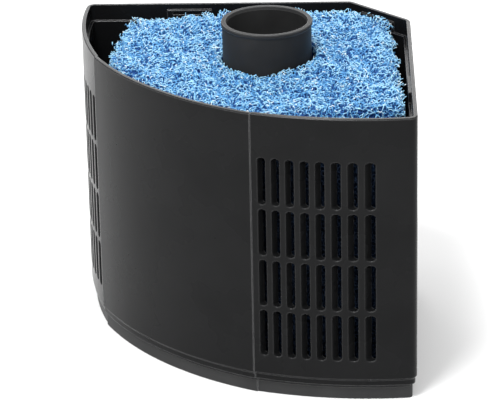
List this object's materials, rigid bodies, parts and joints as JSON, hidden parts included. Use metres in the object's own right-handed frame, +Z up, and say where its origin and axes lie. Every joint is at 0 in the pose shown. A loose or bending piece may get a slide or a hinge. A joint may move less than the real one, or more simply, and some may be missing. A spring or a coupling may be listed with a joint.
{
  "type": "sponge filter",
  "caption": "Corner sponge filter module: slotted casing with a rim socket over a base plate, a foam block inside and a suction tube standing in the foam.",
  "frame": {"origin": "middle of the underside of the base plate, at the centre of the plan's bounding box", "axes": "+Z up, out of the suction tube's mouth; -Y towards the bowed front; +Y towards the cut-off back corner; the plan is symmetric about X = 0"},
  "size_m": [0.1298, 0.0878, 0.0911],
  "materials": {
    "casing_plastic": "satin moulded black",
    "base_plastic": "satin moulded black",
    "tube_plastic": "fine-grained matt black",
    "filter_foam": "open-cell reticulated foam"
  },
  "bodies": {
    "base": {"base_plate": "base_plastic"},
    "housing": {"casing": "casing_plastic"},
    "tube": {"suction_tube": "tube_plastic"},
    "sponge": {"filter_sponge": "filter_foam"}
  },
  "joints": [
    {"name": "casing_lift", "type": "slide", "parent": "base", "child": "housing", "axis": [0, 0, 1], "range_m": [0, 0.09]},
    {"name": "tube_lift", "type": "slide", "parent": "base", "child": "tube", "axis": [0, 0, 1], "range_m": [0, 0.09]},
    {"name": "sponge_lift", "type": "slide", "parent": "base", "child": "sponge", "axis": [0, 0, 1], "range_m": [0, 0.09]}
  ]
}
